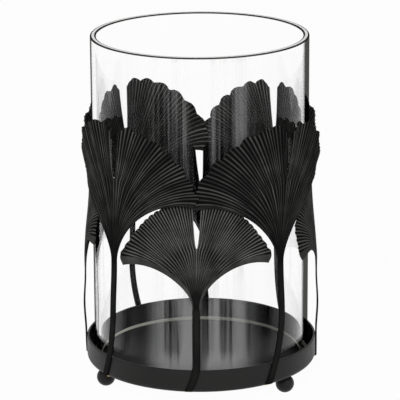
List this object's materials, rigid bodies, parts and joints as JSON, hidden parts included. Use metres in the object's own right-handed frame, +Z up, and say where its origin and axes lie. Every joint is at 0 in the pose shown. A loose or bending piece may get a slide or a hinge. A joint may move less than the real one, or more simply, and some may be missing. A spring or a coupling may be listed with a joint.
{
  "type": "candle lantern",
  "caption": "Hurricane candle lantern: a loose clear glass chimney stands in a round steel tray on ball feet, inside a ring of ribbed ginkgo leaves on stems welded to the tray.",
  "frame": {"origin": "on the table, under the middle of the tray, level with the bottom of the ball feet", "axes": "+Z up along the glass, -Y to the front (the picture's side), +X to the viewer's right"},
  "size_m": [0.1212, 0.1211, 0.1791],
  "materials": {
    "clear_glass": "clear",
    "black_coat": "satin"
  },
  "bodies": {
    "stand": {"tray": "black_coat", "ball_foot_front_right": "black_coat", "ball_foot_front_left": "black_coat", "ball_foot_back": "black_coat", "foot_welds": "black_coat", "large_leaf_front_left": "black_coat", "large_leaf_front_right": "black_coat", "large_leaf_back_right": "black_coat", "large_leaf_back_left": "black_coat", "small_leaf_front": "black_coat", "small_leaf_right": "black_coat", "small_leaf_back": "black_coat", "small_leaf_left": "black_coat", "stem_welds": "black_coat"},
    "glass": {"glass_chimney": "clear_glass"}
  },
  "joints": [
    {"name": "glass_lift", "type": "slide", "parent": "stand", "child": "glass", "axis": [0, 0, 1], "range_m": [0, 0.15]}
  ]
}
